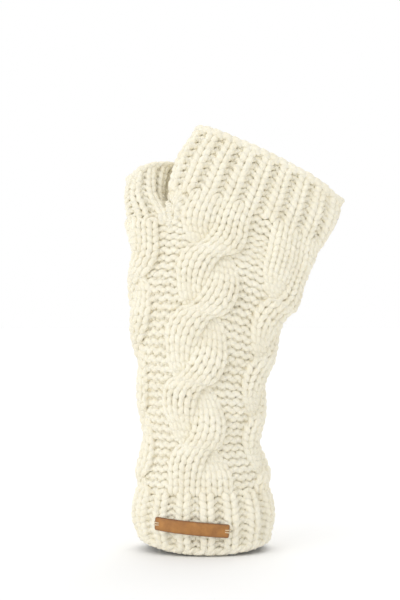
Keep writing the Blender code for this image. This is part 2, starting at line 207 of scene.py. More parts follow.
YARN_RADIUS = 1.82 * MM
THUMB_YARN_RADIUS = 1.46 * MM
ROPE_RADIUS = YARN_RADIUS * 0.85
ROPE_HEIGHT = 0.2 * MM
ROPE_SWING = 0.8 * MM
RIM_YARN_RADIUS = 2.0 * MM
RIM_HEIGHT = 0.0 * MM
THUMB_RIM_RADIUS = 1.55 * MM
THUMB_RIM_HEIGHT = -0.3 * MM
CHAIN_SAMPLES = 14
CHAIN_SWING = 1.7 * MM
CHAIN_START, CHAIN_LENGTH = 0.1, 1.3  # in stitches
CHAIN_FOOT = 0.55  # a loop's width at its foot, against its head
CHAIN_RISE = 0.3 * MM
CHAIN_ARCH = 0.8 * MM
CHAIN_JITTER = 0.1 * MM
RIB_YARN_WIDTHS = (0.92, 1.2)  # in a rib's purl and knit stitches, against the radius
YARN_SIDES = 8
TIP_LENGTH, TIP_WIDTH = 0.5, 0.45
SWELL, SWELL_SAMPLES = 0.05, 12
PLIES = 2
TWIST_PITCH = 3.2 * MM
PLY_RELIEF = 0.07
FIBRE_STREAK = 8.0 * MM
STRIP_SLACK, STRIP_GAP = 1.0001, 0.06  # in the map for the bake
# How far painted shade darkens the grooves between the yarn's plies, towards the wool's dark colour.
GROOVE_SHADE = 0.35

# A loop's lean in stitches and its height in rows, for knit and purl, and how much both vary.
KNIT_LOOP = (0.16, 0.66)
PURL_LOOP = (0.17, 0.64)
LEAN_JITTER, HEIGHT_JITTER = 0.02, 0.03
LOOP_SAMPLES = 16
LOOP_DEPTH = 0.95 * MM
STRAND_EDGE, STRAND_EDGE_DROP = 0.25, 2.4 * MM
RUN_END, RUN_END_DROP = 1, 0.4 * MM
RIB_SQUEEZE = 0.1
NARROWEST_STITCH = 0.35

# The cloth's sheets: steps per row and per stitch, and the way in from the outside of the loops.
SHEET_ROW_STEPS = 2
SHEET_STITCH_STEPS = 4
SHEET_DEPTH = 3.1 * MM

# The fork between the hand's bridge and the thumb's: a filling at its bottom, a saddle of knitting over it,
# and at the front and the back the yarn that laces it shut and a plug beside it. Rows count from the fork.
FORK_SHARE = (0.03, 0.97)  # of the way from the front to the back
WEB_ROWS = (0.1, 0.8, 1.5)
WEB_RADIUS = 2.0 * MM
WEB_SAMPLES = 24
SADDLE_COURSES = 5
SADDLE_STITCHES = 8
SADDLE_LEVEL = 1.3
SADDLE_RISE = 1.0
SADDLE_SIDES = 1.5
SADDLE_HEIGHT = 1.2 * MM
SADDLE_YARN_RADIUS = 1.45 * MM
LACING_RADIUS = 1.3 * MM
LACING_SWING = 1.3 * MM
LACING_PALM_SWING = 2.9 * MM
LACING_DEPTH = 0.9 * MM
LACING_ROWS = (-0.6, 2.6)
LACING_TURNS, LACING_TURN_SAMPLES = 6, 12
LACING_HAND_IN, LACING_THUMB_IN = 0.15, 0.25
PLUG_ROWS = (-0.2, 2.0)
PLUG_SAMPLES = 10
PLUG_HEIGHT = 0.6 * MM
PLUG_IN, PLUG_PALM_IN = 0.6, 1.05

# Loose fibres that stand off the yarn: each one's steps along it, and its widths there.
FIBRES = 7000
FIBRE_SIDES = 4
FIBRE_RADIUS = 0.035 * MM
FIBRE_LENGTHS = (1.2 * MM, 3.6 * MM)
FIBRE_STEPS = (0.0, 0.35, 0.7, 1.0)
FIBRE_WIDTHS = (1.0, 0.9, 0.7, 0.3)
FIBRE_TURN = 1.3
FIBRE_START = 0.8
FIBRE_LIFT, FIBRE_LEAN, FIBRE_BEND, FIBRE_SCATTER = 0.75, 0.55, 0.6, 0.5


def smooth_step(x):
    x = np.clip(x, 0.0, 1.0)
    return x * x * (3.0 - 2.0 * x)


def signed_power(x, power):
    return np.sign(x) * np.abs(x) ** power


def unit(vectors):
    return vectors / np.linalg.norm(vectors, axis=-1, keepdims=True)


def distances(points):
    """How far along a line each of its points lies."""
    return np.concatenate([[0.0], np.cumsum(np.linalg.norm(np.diff(points, axis=0), axis=1))])


def smoothed(values, axis):
    """Values round a closed line, each the mean of itself and its neighbours."""
    return (np.roll(values, 1, axis=axis) + values + np.roll(values, -1, axis=axis)) / 3


def vectors_at(places, known, vectors):
    """Vectors at places between the known ones."""
    return np.stack([np.interp(places, known, vectors[:, k]) for k in range(3)], axis=1)


def section_at(sections, row):
    """The table's values at any row, on a smooth curve through its rows, as a dictionary in metres."""
    table = np.array(sections, float)
    rows = table[:, 0]
    slopes = np.gradient(table, rows, axis=0)
    i = int(np.clip(np.searchsorted(rows, row, side="right") - 1, 0, len(rows) - 2))
    span = rows[i + 1] - rows[i]
    x = (row - rows[i]) / span
    start, end = 1 - 3 * x**2 + 2 * x**3, 3 * x**2 - 2 * x**3
    leave, arrive = x - 2 * x**2 + x**3, x**3 - x**2
    values = start * table[i] + end * table[i + 1] + span * (leave * slopes[i] + arrive * slopes[i + 1])
    return {name: value * MM for name, value in zip(SECTION_NAMES, values) if name != "row"}


def round_section(section):
    """One ring of the cloth's middle, as a dense closed line from the front's middle towards the right.

    Returns its points, the way up at each, and how far round each lies."""
    left = np.array([section["left_x"], 0.0, section["left_z"]])
    right = np.array([section["right_x"], 0.0, section["right_z"]])
    middle_y = (section["left_y"] + section["right_y"]) / 2
    across = unit(right - left)
    upward = np.array([-across[2], 0.0, across[0]])
    half_width = np.linalg.norm(right - left) / 2 - OUTLINE_HEIGHT
    half_depth = section["depth"] / 2 - OUTLINE_HEIGHT
    angle = np.linspace(0.0, 2 * math.pi, RING_SAMPLES + 1)
    side = signed_power(np.sin(angle), 2 / ROUNDNESS)
    front = signed_power(np.cos(angle), 2 / ROUNDNESS)
    points = (
        (left + right) / 2
        + np.outer(side * half_width, across)
        + np.outer(section["bow"] * (1 - side**2), upward)
    )
    points[:, 1] = middle_y + side * (section["right_y"] - middle_y) - half_depth * front
    chord = half_width * across - np.outer(2 * side * section["bow"], upward)
    ups = unit(np.stack([-chord[:, 2], np.zeros(len(chord)), chord[:, 0]], axis=1))
    return points, ups, distances(points)


def read_ring(section, turns):
    """The ring's points and ways up at these turns, counted from front past the front's middle."""
    points, ups, along = round_section(section)
    places = (section["front"] + np.asarray(turns) * along[-1]) % along[-1]
    return vectors_at(places, along, points), vectors_at(places, along, ups)


def stitch_edges(row):
    """Where each stitch of the round starts at this row, counted in whole stitches, and the count last."""
    added = iter(ADDED_AT_ROWS)
    widths = [
        float(smooth_step((row - next(added)) / ADDED_OVER_ROWS)) if kind == "N" else 1.0
        for kind in ROUND
    ]
    return np.concatenate([[0.0], np.cumsum(widths)])


def arm_share(row, stitches):
    """How far round the arm these places in ROUND lie at a row."""
    edges = stitch_edges(row)
    places = np.asarray(stitches, float)
    turns = np.floor(places / len(ROUND))
    share = np.interp(places - turns * len(ROUND), np.arange(len(edges)), edges) / edges[-1]
    return share + turns


def arm_ring(row, stitches):
    """The arm's ring at a row. stitches are places in ROUND."""
    return read_ring(section_at(ARM_SECTIONS, row), arm_share(row, stitches))


def way_out(ahead, behind, ups):
    """The way out of the cloth, from the points ahead and behind and the ways up."""
    return unit(np.cross(ahead - behind, ups))


def arm_frame(row, stitches):
    """The arm's ring at a row, with the way out of the cloth at each point."""
    near = 0.002
    share = arm_share(row, stitches)
    section = section_at(ARM_SECTIONS, row)
    points, ups = read_ring(section, share)
    ahead, behind = read_ring(section, share + near)[0], read_ring(section, share - near)[0]
    return points, ups, way_out(ahead, behind, ups)


class ForkTube:
    """A tube that starts as one side of the fork, closed by a bridge of new stitches, and rounds out above.

    Its places count its own stitches, from the first one that it takes from the arm. turn is how far round
    its ring the bridge's middle lies."""

    def __init__(self, sections, start_row, first, last, bridge, offset, turn):
        self.sections, self.start_row, self.turn = sections, start_row, turn
        self.taken = last - first
        self.stitches = self.taken + bridge
        self.middle = self.taken + bridge / 2
        places = np.arange(0, self.stitches, FORK_LINE_STEP)
        line, ups = arm_ring(FORK_ROW, first + np.clip(places, CORNER, self.taken - CORNER))
        ends, end_ups = arm_ring(FORK_ROW, np.array([last - CORNER, first + CORNER]))
        ends[:, 0] += offset
        across = places > self.taken
        share = ((places[across] - self.taken) / bridge)[:, None]
        line[across] = ends[0] * (1 - share) + ends[1] * share
        ups[across] = end_ups[0] * (1 - share) + end_ups[1] * share
        for _ in range(CORNER_SMOOTHINGS):
            line = smoothed(line, 0)
        self.places = np.append(places, self.stitches)
        self.line, self.ups = np.vstack([line, line[:1]]), np.vstack([ups, ups[:1]])
        self.along = distances(self.line)
        self.along /= self.along[-1]

    def ring(self, row, places):
        places = np.asarray(places, float)
        wrapped = places % self.stitches
        fork, fork_ups = (vectors_at(wrapped, self.places, known) for known in (self.line, self.ups))
        along = np.interp(wrapped, self.places, self.along) + np.floor(places / self.stitches)
        fork_turn = self.turn + along - np.interp(self.middle, self.places, self.along)
        even_turn = self.turn + (places - self.middle) / self.stitches
        above = row - self.start_row
        spread = float(smooth_step(above / SPREAD_ROWS))
        turn = (1 - spread) * fork_turn + spread * even_turn
        points, ups = read_ring(section_at(self.sections, row), turn)
        start, start_ups = read_ring(section_at(self.sections, self.start_row), fork_turn)
        left = 1 - float(smooth_step(above / ROUNDING_ROWS))
        return points + left * (fork - start), ups + left * (fork_ups - start_ups)

    def corners(self):
        """The places at its ring's left and right end."""
        return self.middle, self.middle - self.stitches / 2

    def frame(self, row, places):
        near = 0.2
        points, ups = self.ring(row, places)
        return points, ups, way_out(self.ring(row, places + near)[0], self.ring(row, places - near)[0], ups)


def rim_share(rows, last_row, span):
    """How near rows are to the rim: 0 until span rows below it, 1 on it."""
    return smooth_step((rows - last_row) / span + 1)


class Surface:
    """A tube of cloth, read at any row and place between the points of a grid.

    Its last row dips by dip at the places of corners. A tube that has corners gets softened ways out."""

    def __init__(self, frame_at, stitches, first_row, last_row, dip=0.0, corners=()):
        self.stitches, self.corners = stitches, corners
        steps = round((last_row - first_row + 2 * MARGIN_ROWS) / ROWS_STEP)
        self.rows = first_row - MARGIN_ROWS + ROWS_STEP * np.arange(steps + 1)
        places = np.arange(stitches * PLACES_PER_STITCH) / PLACES_PER_STITCH
        grid = []
        for row in self.rows:
            held = min(max(row, first_row), last_row)
            points, ups, out = frame_at(held, places)
            rise = (row - held) * ROW_HEIGHT
            rise = rise - dip * rim_share(row, last_row, DIP_ROWS) * self.corner_share(places)
            grid.append(np.stack([points + rise[:, None] * ups, ups, out]))
        grid = np.array(grid)
        for _ in range(CORNER_SOFTENINGS if corners else 0):
            grid[:, 1:] = smoothed(grid[:, 1:], 2)
        self.grid = grid.transpose(0, 2, 1, 3)

    def corner_share(self, places):
        """How near places are to a corner: 1 at it, and little from two stitches away."""
        share = np.zeros(len(places))
        for corner in self.corners:
            away = (places - corner + self.stitches / 2) % self.stitches - self.stitches / 2
            share += np.exp(-((away / DIP_STITCHES) ** 2))
        return share

    def read(self, rows, places):
        """Points, ways up and ways out at these rows and places."""
        row = np.clip((rows - self.rows[0]) / ROWS_STEP, 0, len(self.rows) - 1.001)
        place = (places % self.stitches) * PLACES_PER_STITCH
        i, j = row.astype(int), place.astype(int)
        a, b = (row - i)[:, None, None], (place - j)[:, None, None]
        j %= self.grid.shape[1]
        k = (j + 1) % self.grid.shape[1]
        low = self.grid[i, j] * (1 - b) + self.grid[i, k] * b
        high = self.grid[i + 1, j] * (1 - b) + self.grid[i + 1, k] * b
        found = low * (1 - a) + high * a
        found[:, 1:] = unit(found[:, 1:])
        return found[:, 0], found[:, 1], found[:, 2]

    def at(self, rows, places, height):
        """The points at a height over the cloth's middle."""
        points, _, out = self.read(np.asarray(rows, float), np.asarray(places, float))
        return points + out * np.broadcast_to(height, len(points))[:, None]


HAND_TUBE = ForkTube(
    HAND_SECTIONS, FORK_ROW, THUMB_TO, THUMB_FROM + len(ROUND), HAND_CAST_ON, FORK_OFFSET, turn=0.75
)
THUMB_TUBE = ForkTube(THUMB_SECTIONS, 0, THUMB_FROM, THUMB_TO, THUMB_PICKED_UP, -FORK_OFFSET, turn=0.25)
ARM = Surface(arm_frame, len(ROUND), 0, FORK_ROW)
HAND = Surface(HAND_TUBE.frame, HAND_TUBE.stitches, FORK_ROW, RIM_ROW, HAND_DIP, HAND_TUBE.corners())
THUMB = Surface(THUMB_TUBE.frame, THUMB_TUBE.stitches, 0, THUMB_ROWS, THUMB_DIP, THUMB_TUBE.corners())


def bridges(level, share):
    """Points on the hand's and the thumb's bridge at a level, a share of the way from front to back."""
    level = level + 0 * share
    hand = HAND.at(FORK_ROW + level, HAND_TUBE.stitches - share * HAND_CAST_ON, 0.0)
    thumb = THUMB.at(level, THUMB_TUBE.taken + share * THUMB_PICKED_UP, 0.0)
    return hand, thumb


def saddle_point(across, places):
    """The fork's saddle between the hand's bridge, at 0 across, and the thumb's at 1, from front to back."""
    share = FORK_SHARE[0] + (FORK_SHARE[1] - FORK_SHARE[0]) * places / SADDLE_STITCHES
    level = SADDLE_LEVEL + SADDLE_RISE * np.sin(math.pi * share) + SADDLE_SIDES * (2 * across - 1) ** 2
    hand, thumb = bridges(level, share)
    return hand * (1 - across) + thumb * across


def saddle_frame(course, places):
    near, across = 0.05, course / SADDLE_COURSES
    ups = unit(saddle_point(across + near, places) - saddle_point(across - near, places))
    out = way_out(saddle_point(across, places + near), saddle_point(across, places - near), ups)
    return saddle_point(across, places), ups, out


# A surface closes round, so the saddle's has one stitch more, which stays empty.
SADDLE = Surface(saddle_frame, SADDLE_STITCHES + 1, 0, SADDLE_COURSES)


def knit_share(places):
    """How much of a rib's knit stitch a place has: 1 in the knit's middle, 0 in the purl's."""
    return 0.5 + 0.5 * np.cos(math.pi * (np.asarray(places) - 0.5))


def rib(places, height):
    """Knit 1, purl 1: every stitch that starts at an even number stands up."""
    return RIB_PURL_HEIGHT + (height - RIB_PURL_HEIGHT) * knit_share(places) ** RIB_ROUNDNESS


def strand_turn(cable, rows):
    """How far a cable's strands have turned round each other. They hang straight at both ends."""
    crossings = (rows - cable[1]) / CROSSING_ROWS
    return math.pi * np.clip(crossings, -0.5, CROSSINGS - 0.5)


def strand_centre(cable, side, rows):
    return cable[0] + STRAND_SWING * signed_power(side * np.sin(strand_turn(cable, rows)), STRAND_SNAP)


def strand_over(cable, side, rows):
    """How far a strand lies over the other one: 1 on top of it, 0 beside it, -1 under it."""
    return signed_power(side * np.cos(strand_turn(cable, rows)), STRAND_LEVELLING)


def strand_width(cable, side, rows):
    """How much wider than its own stitches a strand lies: it spreads on top and is squeezed under."""
    return 1 + STRAND_SPREAD * strand_over(cable, side, rows)


def strand_away(cable, side, rows, places):
    """How far places in ROUND are from a strand's middle, the short way round, in its own stitches."""
    half_round = len(ROUND) / 2
    away = (places - strand_centre(cable, side, rows) + half_round) % len(ROUND) - half_round
    return away / strand_width(cable, side, rows)


def strand_top(cable, side, rows, away):
    """The height of a strand's outside, away stitches from its middle."""
    crossing = FRONT_CROSSING_HEIGHT if cable == CABLES[0] else CABLE_CROSSING_HEIGHT
    top = CABLE_HEIGHT - PURL_HEIGHT + crossing * strand_over(cable, side, rows)
    start = STRAND_START + (1 - STRAND_START) * smooth_step((rows - HEM_TOP_ROW) / STRAND_FADE_ROWS)
    end = 1 - (1 - STRAND_END) * smooth_step((rows - CUFF_ROW) / STRAND_FADE_ROWS + 1)
    return PURL_HEIGHT + top * start * end * np.sqrt(np.clip(1 - (away / STRAND_HALF_WIDTH) ** 2, 0.05, 1))


# ---- Yarn meshes ----


def add_object(name, mesh, material):
    mesh.materials.append(material)
    thing = bpy.data.objects.new(name, mesh)
    bpy.context.scene.collection.objects.link(thing)
    return thing


def transported(line, closed):
    """Two directions square to a line at each point, carried along it with no twist."""
    if closed:
        tangents = unit(np.roll(line, -1, axis=0) - np.roll(line, 1, axis=0))
    else:
        tangents = unit(np.gradient(line, axis=0))
    start = np.cross(tangents[0], (0.0, 0.0, 1.0))
    if np.linalg.norm(start) < 0.1:
        start = np.cross(tangents[0], (1.0, 0.0, 0.0))
    normals = [unit(start)]
    for tangent in tangents[1:]:
        normals.append(unit(normals[-1] - tangent * np.dot(normals[-1], tangent)))
    normals = np.array(normals)
    if closed:
        sideways = np.cross(tangents, normals)
        last = normals[-1] - tangents[0] * np.dot(normals[-1], tangents[0])
        twist = math.atan2(np.dot(last, sideways[0]), np.dot(last, normals[0]))
        angle = -twist * np.arange(len(line)) / len(line)
        normals = normals * np.cos(angle)[:, None] + sideways * np.sin(angle)[:, None]
    return normals, np.cross(tangents, normals)


def ring_ways(first, second, sides):
    """The ways out round a yarn at each of its points, from two directions square to it."""
    turn = 2 * math.pi * np.arange(sides)[:, None] / sides
    return first[..., None, :] * np.cos(turn) + second[..., None, :] * np.sin(turn)


def tube_faces(starts, ends, sides):
    """The faces between rings of corners. starts and ends hold the number of each ring's first corner."""
    j = np.arange(sides)
    k = (j + 1) % sides
    return np.stack([starts + j, starts + k, ends + k, ends + j], axis=-1).reshape(-1, 4)


def tube_map(start, end, sides):
    """The yarn's own map: metres along it, and the share of the way round."""
    near = np.arange(sides) / sides
    far = near + 1 / sides
    corners = np.broadcast_arrays(start, near, start, far, end, far, end, near)
    return np.stack(corners, axis=-1).reshape(-1, 4, 2)


def bake_map(uvs, sides, caps):
    """A map on which no faces overlap: the yarns end to end, in strips side by side, then their end caps."""
    lengths = (uvs[:, 2, 0] - uvs[:, 0, 0])[::sides]
    starts = np.concatenate([[0.0], np.cumsum(lengths)[:-1]])
    strips = max(2, math.ceil(math.sqrt(lengths.sum() / (2 * math.pi * YARN_RADIUS))))
    strip = lengths.sum() / strips * STRIP_SLACK
    row = np.repeat(np.floor(starts / strip), sides)[:, None]
    full = strip + lengths.max()
    across = STRIP_GAP + (1 - 2 * STRIP_GAP) * uvs[:, :, 1]
    x = np.repeat(starts, sides)[:, None] - row * strip + 0 * across
    x[:, 2:] += np.repeat(lengths, sides)[:, None]
    spread = np.stack([x / full, (row + across) / (strips + 1)], axis=-1)
    square = np.array([(0.1, 0.1), (0.1, 0.9), (0.9, 0.9), (0.9, 0.1)])
    ends = square + np.arange(caps)[:, None, None] * np.array([1.0, 0.0])
    ends = (ends / [max(caps, 1), 1.0] + [0.0, strips]) / [1.0, strips + 1]
    return np.vstack([spread, ends])


class Yarns:
    """Collects yarn lines and makes one mesh of them."""

    def __init__(self):
        self.verts, self.faces, self.caps, self.uvs, self.count = [], [], [], [], 0
        self.roots = []

    def lay(self, surface, rows, places, height, radius, up=0.0, closed=False):
        """A yarn over a cloth surface. Its fibres can start where it shows."""
        points, ups, out = surface.read(rows, places)
        line = points + out * height[:, None] + ups * np.broadcast_to(up, len(points))[:, None]
        self.add(line, radius, closed)
        self.roots.append(np.stack([line, out, np.gradient(line, axis=0)], axis=1))

    def add(self, line, radius, closed=False):
        """A round yarn along a line. An open one ends in a rounded tip."""
        radius = np.broadcast_to(radius, len(line))
        if not closed:
            start = line[0] + unit(line[0] - line[1]) * radius[0] * TIP_LENGTH
            end = line[-1] + unit(line[-1] - line[-2]) * radius[-1] * TIP_LENGTH
            line = np.vstack([start, line, end])
            radius = np.concatenate([[radius[0] * TIP_WIDTH], radius, [radius[-1] * TIP_WIDTH]])
        sides = YARN_SIDES
        ways = ring_ways(*transported(line, closed), sides)
        along = distances(line)
        turn = 2 * math.pi * np.arange(sides) / sides
        twist = np.sin(PLIES * turn + 2 * math.pi * along[:, None] / TWIST_PITCH)
        width = radius[:, None] * (1 + PLY_RELIEF * twist)
        rings = np.arange(len(line) if closed else len(line) - 1)[:, None]
        starts, ends = rings * sides, (rings + 1) % len(line) * sides
        along = np.append(along, along[-1] + np.linalg.norm(line[0] - line[-1]))
        self.verts.append((line[:, None] + ways * width[:, :, None]).reshape(-1, 3))
        self.faces.append(tube_faces(starts, ends, sides) + self.count)
        self.uvs.append(tube_map(along[rings], along[rings + 1], sides))
        if not closed:
            self.close(self.count + np.arange(sides)[::-1])
            self.close(self.count + (len(line) - 1) * sides + np.arange(sides))
        self.count += len(line) * sides

    def close(self, ring):
        """Faces over an end's ring of corners."""
        for a in range(len(ring) // 2 - 1):
            b = len(ring) - 1 - a
            self.caps.append([ring[a], ring[a + 1], ring[b - 1], ring[b]])

    def piece(self, name, material, sides=YARN_SIDES):
        verts, faces, uvs = np.concatenate(self.verts), np.concatenate(self.faces), np.concatenate(self.uvs)
        spread = bake_map(uvs, sides, len(self.caps))
        if self.caps:
            faces, uvs = np.vstack([faces, self.caps]), np.vstack([uvs, np.zeros((len(self.caps), 4, 2))])
        mesh = bpy.data.meshes.new(name)
        mesh.vertices.add(len(verts))
        mesh.vertices.foreach_set("co", verts.ravel())
        mesh.loops.add(faces.size)
        mesh.loops.foreach_set("vertex_index", faces.ravel().astype(np.int32))
        mesh.polygons.add(len(faces))
        mesh.polygons.foreach_set("loop_start", np.arange(0, faces.size, 4, dtype=np.int32))
        mesh.polygons.foreach_set("use_smooth", np.ones(len(faces), bool))
        mesh.uv_layers.new(name=YARN_MAP).data.foreach_set("uv", uvs.ravel())
        mesh.uv_layers.new(name=BAKE_MAP).data.foreach_set("uv", spread.ravel())
        mesh.update(calc_edges=True)
        mesh.validate()
        return add_object(name, mesh, material)


def fibre_lines(roots, rng):
    """Short curved lines that start on the yarns' outside, a way beside each one, and their lengths."""
    count = len(roots)
    start, out, along = roots[:, 0], roots[:, 1], unit(roots[:, 2])
    side = np.cross(out, along)
    lift = out - along * np.sum(out * along, axis=1)[:, None]
    turn = rng.uniform(-FIBRE_TURN, FIBRE_TURN, count)[:, None]
    up = unit(lift * np.cos(turn) + side * np.sin(turn))
    start = start + up * YARN_RADIUS * FIBRE_START
    length = rng.uniform(*FIBRE_LENGTHS, count)[:, None]
    leaning = along * rng.choice([-1.0, 1.0], count)[:, None]
    leaning += FIBRE_SCATTER * rng.standard_normal((count, 3))
    bend = FIBRE_SCATTER * rng.standard_normal((count, 3))
    points = [
        start + length * (FIBRE_LIFT * t * up + FIBRE_LEAN * t**1.5 * leaning + FIBRE_BEND * t * t * bend)
        for t in FIBRE_STEPS
    ]
    return np.stack(points, axis=1), side, length


def grow_fibres(name, yarns, count, material, rng):
    """Fibres that stand off the outside of the yarns, all in one mesh."""
    roots = np.concatenate([root for yarn in yarns for root in yarn.roots])
    points, side, length = fibre_lines(roots[rng.integers(0, len(roots), count)], rng)
    lowest = min(verts[:, 2].min() for yarn in yarns for verts in yarn.verts)
    points[:, :, 2] = np.maximum(points[:, :, 2], lowest + FIBRE_RADIUS)
    tangents = unit(np.gradient(points, axis=1))
    first = unit(np.cross(tangents, np.broadcast_to(side[:, None], tangents.shape)))
    ways = ring_ways(first, np.cross(tangents, first), FIBRE_SIDES)
    width = FIBRE_RADIUS * np.array(FIBRE_WIDTHS)[:, None, None]
    spans = len(FIBRE_STEPS) - 1
    feet = np.arange(count)[:, None, None] * len(FIBRE_STEPS) * FIBRE_SIDES
    starts = feet + np.arange(spans)[:, None] * FIBRE_SIDES
    along = length[:, :, None] * np.arange(spans)[:, None] / spans
    made = Yarns()
    made.verts = [(points[:, :, None] + ways * width).reshape(-1, 3)]
    made.faces = [tube_faces(starts, starts + FIBRE_SIDES, FIBRE_SIDES)]
    made.uvs = [tube_map(along, along + length[:, :, None] / spans, FIBRE_SIDES)]
    ring = np.arange(FIBRE_SIDES)
    made.caps = np.vstack([feet[:, 0] + ring[::-1], feet[:, 0] + spans * FIBRE_SIDES + ring]).tolist()
    return made.piece(name, material, FIBRE_SIDES)


# ---- Courses of knitting ----


def loops(kinds, rng):
    """A course of loops, knit (1) or purl (-1): stitches across, rows up, and depth to the front."""
    kinds = np.asarray(kinds)
    count = len(kinds)
    phase = np.arange(count * LOOP_SAMPLES + 1) / LOOP_SAMPLES
    i = np.minimum(phase.astype(int), count - 1)
    f = phase - i
    lean, height = np.where(kinds[i] > 0, np.array(KNIT_LOOP)[:, None], np.array(PURL_LOOP)[:, None])
    lean = lean + LEAN_JITTER * rng.standard_normal(count)[i]
    height = height + HEIGHT_JITTER * rng.standard_normal(count)[i]
    x = phase + lean * np.sin(4 * math.pi * f)
    tilt = HEIGHT_JITTER * rng.standard_normal(count)[i]
    v = -height * np.cos(2 * math.pi * f) + tilt * np.sin(math.pi * f) ** 2
    wave = np.cos(4 * math.pi * f)
    ends = np.concatenate([[-kinds[0]], -(kinds[:-1] + kinds[1:]) / 2, [-kinds[-1]]])
    z = np.where(f < 1 / 8, ends[i], np.where(f > 7 / 8, ends[i + 1], -kinds[i])) * wave
    z[1:-1] = (z[:-2] + 2 * z[1:-1] + z[2:]) / 4
    return x, v, z


def thickness(count, radius, rng):
    """The yarn's radius along a line: hand-spun wool swells and thins a little."""
    knots = rng.standard_normal(count // SWELL_SAMPLES + 3)
    swell = np.interp(np.arange(count) / SWELL_SAMPLES, np.arange(len(knots)), knots)
    return radius * (1 + SWELL * swell)


def under(top, radius, depth):
    """The height of a yarn's middle where a loop's outside lies at top. depth goes from -1 to 1."""
    return top - radius - LOOP_DEPTH + LOOP_DEPTH * depth


def end_share(x, count, span):
    """How near places in a run of stitches are to its ends: 1 at them, 0 from span stitches away."""
    return np.clip(1 - x / span, 0, 1) + np.clip(1 - (count - x) / span, 0, 1)


def knit_course(yarns, surface, row, start, kinds, top, radius, rng):
    """One course of loops from the place start, with its outside at the height that top gives."""
    x, v, z = loops(kinds, rng)
    places, rows = start + x, row + 0.5 + v
    height = under(top(places, rows), radius, z)
    yarns.lay(surface, rows, places, height, thickness(len(x), radius, rng))


def rib_kinds(count):
    return [1 if i % 2 == 0 else -1 for i in range(count)]


def rib_course(yarns, surface, row, stitches, top, radius, rng, spread=None):
    """One course of rib all round, whose knit stitches squeeze the purl ones between them.

    spread turns its places into the surface's own."""
    x, v, z = (values[:-1] for values in loops(rib_kinds(stitches), rng))
    rows = row + 0.5 + v
    height = under(top(x, rows), radius, z)
    places = x - RIB_SQUEEZE * np.cos(math.pi * x)
    if spread is not None:
        places = spread(places)
    width = thickness(len(x), radius, rng) * np.interp(knit_share(x), (0, 1), RIB_YARN_WIDTHS)
    yarns.lay(surface, rows, places, height, width, closed=True)


def strand_course(yarns, surface, row, cable, side, rng, origin=0.0):
    """The three knit stitches of one cable strand. origin is the surface's place 0, in ROUND."""
    x, v, z = loops([1] * STRAND_STITCHES, rng)
    rows = row + 0.5 + v
    away = x - STRAND_STITCHES / 2
    height = under(strand_top(cable, side, rows, away), YARN_RADIUS, z)
    height -= STRAND_EDGE_DROP * end_share(x, STRAND_STITCHES, STRAND_EDGE)
    places = strand_centre(cable, side, rows) + away * strand_width(cable, side, rows)
    yarns.lay(surface, rows, places - origin, height, thickness(len(x), YARN_RADIUS, rng))


def covered(place, row):
    """True where a cable's strands hide the ground under them."""
    return any(
        abs(strand_away(cable, side, row, place))
        < STRAND_STITCHES / 2 - COVER_MARGIN / strand_width(cable, side, row)
        for cable, side in STRANDS
    )


def ground_runs(row, first, last):
    """The stretches of purl ground at a row that no strand hides, as lists of places.

    Each goes on under the strand at both its ends. Stitches that are still too narrow are left out."""
    wide = np.diff(stitch_edges(row + 0.5)) > NARROWEST_STITCH
    runs = []
    for place in range(first, last):
        if not wide[place % len(ROUND)] or covered((place + 0.5) % len(ROUND), row + 0.5):
            continue
        skipped = range(runs[-1][-1] + 1, place) if runs else ()
        if runs and not any(wide[k % len(ROUND)] for k in skipped):
            runs[-1].append(place)
        else:
            runs.append([place])
    return [[run[0] - 1, *run, run[-1] + 1] for run in runs]


def purl_top(places, rows):
    return np.full(len(places), PURL_HEIGHT)


def ground_course(yarns, surface, row, run, rng, origin=0.0):
    """Purl stitches at the places of a run, spread evenly over stitches that aren't there yet."""
    x, v, z = loops([-1] * len(run), rng)
    edges = stitch_edges(row + 0.5)
    starts = np.array([*run, run[-1] + 1])
    rounds = starts // len(ROUND)
    starts = edges[starts % len(ROUND)] + rounds * edges[-1]
    along = np.interp(x, np.arange(len(starts)), starts)
    turns = np.floor(along / edges[-1])
    places = np.interp(along - turns * edges[-1], edges, np.arange(len(edges))) + turns * len(ROUND)
    height = under(PURL_HEIGHT, YARN_RADIUS, z) - RUN_END_DROP * end_share(x, len(run), RUN_END)
    yarns.lay(surface, row + 0.5 + v, places - origin, height, thickness(len(x), YARN_RADIUS, rng))


def chain_edge(yarns, surface, row, stitches, height, radius, rng):
    """The cast-off edge: a chain of loops that lies along the rim."""
    phase = np.arange(CHAIN_SAMPLES + 1) / CHAIN_SAMPLES
    ahead = (1 - np.cos(2 * math.pi * phase)) / 2
    across = -CHAIN_SWING * np.sin(2 * math.pi * phase) * (CHAIN_FOOT + (1 - CHAIN_FOOT) * ahead)
    arch = CHAIN_RISE - CHAIN_ARCH * np.cos(4 * math.pi * phase)
    rows = np.full(len(phase), float(row))
    for i in range(stitches):
        along = i + CHAIN_START + CHAIN_LENGTH * ahead
        up = arch + CHAIN_JITTER * rng.standard_normal()
        tuck = RIM_TUCK * surface.corner_share(along)
        yarns.lay(surface, rows, along, height - tuck + across, thickness(len(phase), radius, rng), up=up)


def rope_edge(yarns, surface, stitches, spread):
    """The cast-on edge: two strands of yarn twisted round each other along the foot."""
    places = np.arange(stitches * PLACES_PER_STITCH) / PLACES_PER_STITCH
    rows, radius = np.zeros(len(places)), np.full(len(places), ROPE_RADIUS)
    for strand in range(2):
        turn = math.pi * (places + strand)
        height, up = (ROPE_HEIGHT + ROPE_SWING * wave(turn) for wave in (np.cos, np.sin))
        yarns.lay(surface, rows, spread(places), height, radius, up=up, closed=True)


# ---- Materials ----

WOOL_SHADER = {
    "Roughness": 0.92,
    "Subsurface Weight": 0.15,
    "Subsurface Radius": (1.0, 0.9, 0.7),
    "Subsurface Scale": 0.8 * MM,
    "Sheen Weight": 0.25,
    "Sheen Roughness": 0.5,
    "Sheen Tint": (1.0, 0.97, 0.9, 1.0),
}


